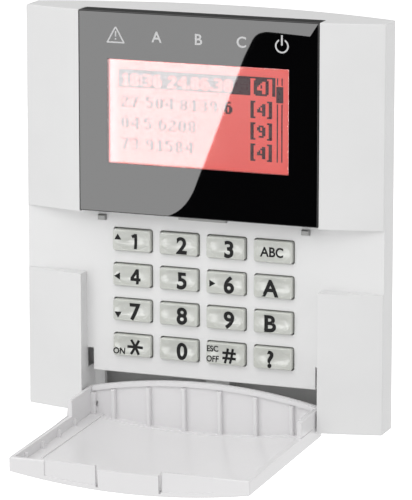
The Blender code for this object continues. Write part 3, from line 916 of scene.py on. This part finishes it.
def plated_steel():
    """Zinc-plated steel: bright and slightly bluish, with fine turning marks."""
    mat, tree, shader = new_material("zinc-plated steel, turned")
    where = add_node(tree, "ShaderNodeTexCoord").outputs["Object"]
    marks = add_node(
        tree, "ShaderNodeTexNoise", {"Vector": where, "Scale": 1 / (0.3 * MM), "Detail": 3.0}
    )
    tone = add_node(
        tree, "ShaderNodeMix",
        {"Factor": marks.outputs["Fac"], MIX_A: linear("#A9AEB4"), MIX_B: linear("#C9CCCE")},
        data_type="RGBA",
    )
    tree.links.new(tone.outputs[MIXED], shader.inputs["Base Color"])
    rough = add_node(
        tree, "ShaderNodeMapRange", {"Value": marks.outputs["Fac"], "To Min": 0.2, "To Max": 0.42}
    )
    tree.links.new(rough.outputs["Result"], shader.inputs["Roughness"])
    shader.inputs["Metallic"].default_value = 1.0
    return mat


steel = plated_steel()
steel_nodes = ["lid_hinge_pin_left", "lid_hinge_pin_right", "case_screw"]
for i in range(1, 5):
    steel_nodes += ["board_screw_%d" % i, "terminal_screw_%d" % i]


def finish_node(name, material):
    nodes[name].data.materials.clear()
    nodes[name].data.materials.append(material)


for name in steel_nodes:
    finish_node(name, steel)


# ---- Inside ---------------------------------------------------------------------------
# Board, buzzer, terminals, tamper switch and the silicone key mat. They show only through
# the cable mouth and the screw slots, so they keep their plain solids under real finishes.
TRACK_GRID = 2.4
TRACK_RISE = 0.035


def circuit_board():
    """Glass-fibre board under green solder resist, glossy where the tracks stand up.

    Real tracks lie well under a millimetre apart, too fine to show, and have another layout: they
    are drawn as one net of lines 2.4 mm apart.
    """
    mat, tree, shader = new_material("green solder resist over copper tracks")
    where = add_node(tree, "ShaderNodeTexCoord").outputs["Object"]
    tracks = add_node(
        tree, "ShaderNodeTexVoronoi", {"Vector": where, "Scale": 1 / (TRACK_GRID * MM)},
        distance="MANHATTAN", feature="DISTANCE_TO_EDGE",
    )
    line = add_node(
        tree, "ShaderNodeMapRange",
        {"Value": tracks.outputs["Distance"], "From Min": 0.05, "From Max": 0.09,
         "To Min": 1.0, "To Max": 0.0},
    )
    tone = add_node(
        tree, "ShaderNodeMix",
        {"Factor": line.outputs["Result"], MIX_A: linear("#12502A"), MIX_B: linear("#2F7A48")},
        data_type="RGBA",
    )
    tree.links.new(tone.outputs[MIXED], shader.inputs["Base Color"])
    bump = add_node(
        tree, "ShaderNodeBump",
        {"Height": line.outputs["Result"], "Strength": 0.6, "Distance": TRACK_RISE * MM},
    )
    tree.links.new(bump.outputs["Normal"], shader.inputs["Normal"])
    shader.inputs["Roughness"].default_value = 0.3
    return mat


finish_node("main_board", circuit_board())
inner_finishes = {
    "key_mat": moulded("grey silicone rubber, matte", "#A8ABAA", 0.62, 0.6, 0.004),
    "lcd_carrier": moulded("white polycarbonate carrier", "#DADADA", 0.45, 0.7, 0.003),
    "lcd_connector": moulded("black nylon, glass filled", "#1B1B1C", 0.5, 0.35, 0.004),
    "terminal_block": moulded("green polyamide terminal", "#1F7A45", 0.42, 0.5, 0.003),
    "tamper_plunger": moulded("grey acetal plunger", "#8F9090", 0.35, 0.5, 0.002),
}
for name, material in inner_finishes.items():
    finish_node(name, material)
for name in ("buzzer", "tamper_switch"):
    finish_node(name, inner_finishes["lcd_connector"])


# ---- Studio ---------------------------------------------------------------------------
# A pale paper floor, even white light, two soft lights, and a camera with a long lens a little
# above and to the right. Cards that only shiny surfaces see give the black block its
# reflections: a softbox and a strip on either side, with black cloth behind and above.
deselect()
bpy.ops.mesh.primitive_plane_add(size=40.0, location=(0, 0, -1.0))
floor = bpy.context.object
floor.name = "floor"
paper = moulded("matte white paper", "#FAFAFA", 0.9, 2.0, 0.01, 0.0)
glow = paper.node_tree.nodes["Principled BSDF"].inputs
glow["Emission Color"].default_value = (1, 1, 1, 1)
glow["Emission Strength"].default_value = 0.6
floor.data.materials.append(paper)
floor.visible_diffuse = False

deselect()
camera_data = bpy.data.cameras.new("camera")
camera = bpy.data.objects.new("camera", camera_data)
bpy.context.scene.collection.objects.link(camera)
bpy.context.scene.camera = camera
AZIMUTH, ELEVATION, DISTANCE = math.radians(20.9), math.radians(12.1), 1.2
camera_data.lens = 274.0
camera_data.sensor_width = 36.0
target = place(0.9, 0.0, -10.1)
level = math.cos(ELEVATION)
away = Vector((math.sin(AZIMUTH) * level, -math.cos(AZIMUTH) * level, math.sin(ELEVATION)))
camera.location = target + away * DISTANCE
camera.rotation_euler = away.to_track_quat("Z", "Y").to_euler()


def card(name, corners, brightness):
    """A studio card that only shiny surfaces see: black cloth, or a lit diffuser."""
    sheet = bmesh.new()
    sheet.faces.new([sheet.verts.new(Vector(corner)) for corner in corners])
    mesh = bpy.data.meshes.new(name)
    sheet.to_mesh(mesh)
    sheet.free()
    obj = bpy.data.objects.new(name, mesh)
    bpy.context.scene.collection.objects.link(obj)
    mat, tree, shader = new_material(name)
    shader.inputs["Base Color"].default_value = linear("#000000")
    shader.inputs["Specular IOR Level"].default_value = 0.0
    shader.inputs["Emission Color"].default_value = linear("#FFFFFF")
    shader.inputs["Emission Strength"].default_value = brightness
    mesh.materials.append(mat)
    obj.visible_camera = False
    obj.visible_diffuse = False
    obj.visible_shadow = False
    return obj


def mirrored(outline, ahead):
    """Where the display block's face mirrors the camera's view of it, that far ahead of the face."""
    face_y = place(0, BEZEL_FACE, 0).y
    reach = ahead / (face_y - camera.location.y)
    corners = []
    for x, z in outline:
        dx, dz = x * MM - camera.location.x, z * MM - camera.location.z
        corners.append((x * MM + reach * dx, face_y - ahead, z * MM + reach * dz))
    return corners


def eased(before, corner, after, reach):
    """Points that round the corner off, starting and ending that far from it."""
    before, corner, after = Vector(before), Vector(corner), Vector(after)
    start = corner + (before - corner).normalized() * reach
    end = corner + (after - corner).normalized() * reach
    steps = [i / 8 for i in range(9)]
    return [tuple(start * (1 - t) ** 2 + corner * 2 * t * (1 - t) + end * t * t) for t in steps]


right_edge, top_corner, low_corner, left_edge = (60.0, 64.6), (19.9, 64.6), (-4.9, 0.4), (-75.0, 0.4)
softbox_outline = [(-75.0, 90.0), (60.0, 90.0), right_edge]
softbox_outline += eased(right_edge, top_corner, low_corner, 4.5)
softbox_outline += eased(top_corner, low_corner, left_edge, 9.0) + [left_edge]
SOFTBOX_AHEAD, FLAG_AHEAD = 0.50, 0.54
left_strip = [(-130, 70), (-88, 70), (-88, -130), (-130, -130)]
right_strip = [(74, 70), (112, 70), (112, -130), (74, -130)]
flag_outline = [(-68, 95), (68, 95), (68, -62), (-68, -62)]
back_corners = [(-0.30, 0.35, 0.09), (0.0, 0.35, 0.09), (0.0, 0.35, 0.22), (-0.30, 0.35, 0.22)]
card("softbox_card", mirrored(softbox_outline, SOFTBOX_AHEAD), 6.3)
card("black_flag", mirrored(flag_outline, FLAG_AHEAD), 0.0)
card("strip_left", mirrored(left_strip, SOFTBOX_AHEAD), 7.0)
card("strip_right", mirrored(right_strip, SOFTBOX_AHEAD), 7.0)
card("back_flag", back_corners, 0.12)

bpy.ops.object.light_add(type="AREA", location=(-0.30, -1.1, 1.0))
key_light = bpy.context.object
key_light.name = "front_softbox"
key_light.data.shape = "RECTANGLE"
key_light.data.size, key_light.data.size_y = 1.1, 0.8
key_light.data.energy = 5.6
key_light.rotation_euler = (key_light.location - target).to_track_quat("Z", "Y").to_euler()

bpy.ops.object.light_add(type="AREA", location=(0.0, -0.45, 0.9))
top_light = bpy.context.object
top_light.name = "top_softbox"
top_light.data.size = 0.6
top_light.data.energy = 0.9
top_light.rotation_euler = (top_light.location - place(0, -60, -50)).to_track_quat("Z", "Y").to_euler()

world = bpy.data.worlds.new("studio")
bpy.context.scene.world = world
world.use_nodes = True
backdrop = world.node_tree.nodes["Background"].inputs
backdrop["Color"].default_value = (1, 1, 1, 1)
seen = add_node(world.node_tree, "ShaderNodeLightPath").outputs["Is Camera Ray"]
white = add_node(world.node_tree, "ShaderNodeMapRange", {"Value": seen, "To Min": 0.75, "To Max": 1.05})
world.node_tree.links.new(white.outputs["Result"], backdrop["Strength"])
bpy.context.scene.view_settings.view_transform = "Standard"
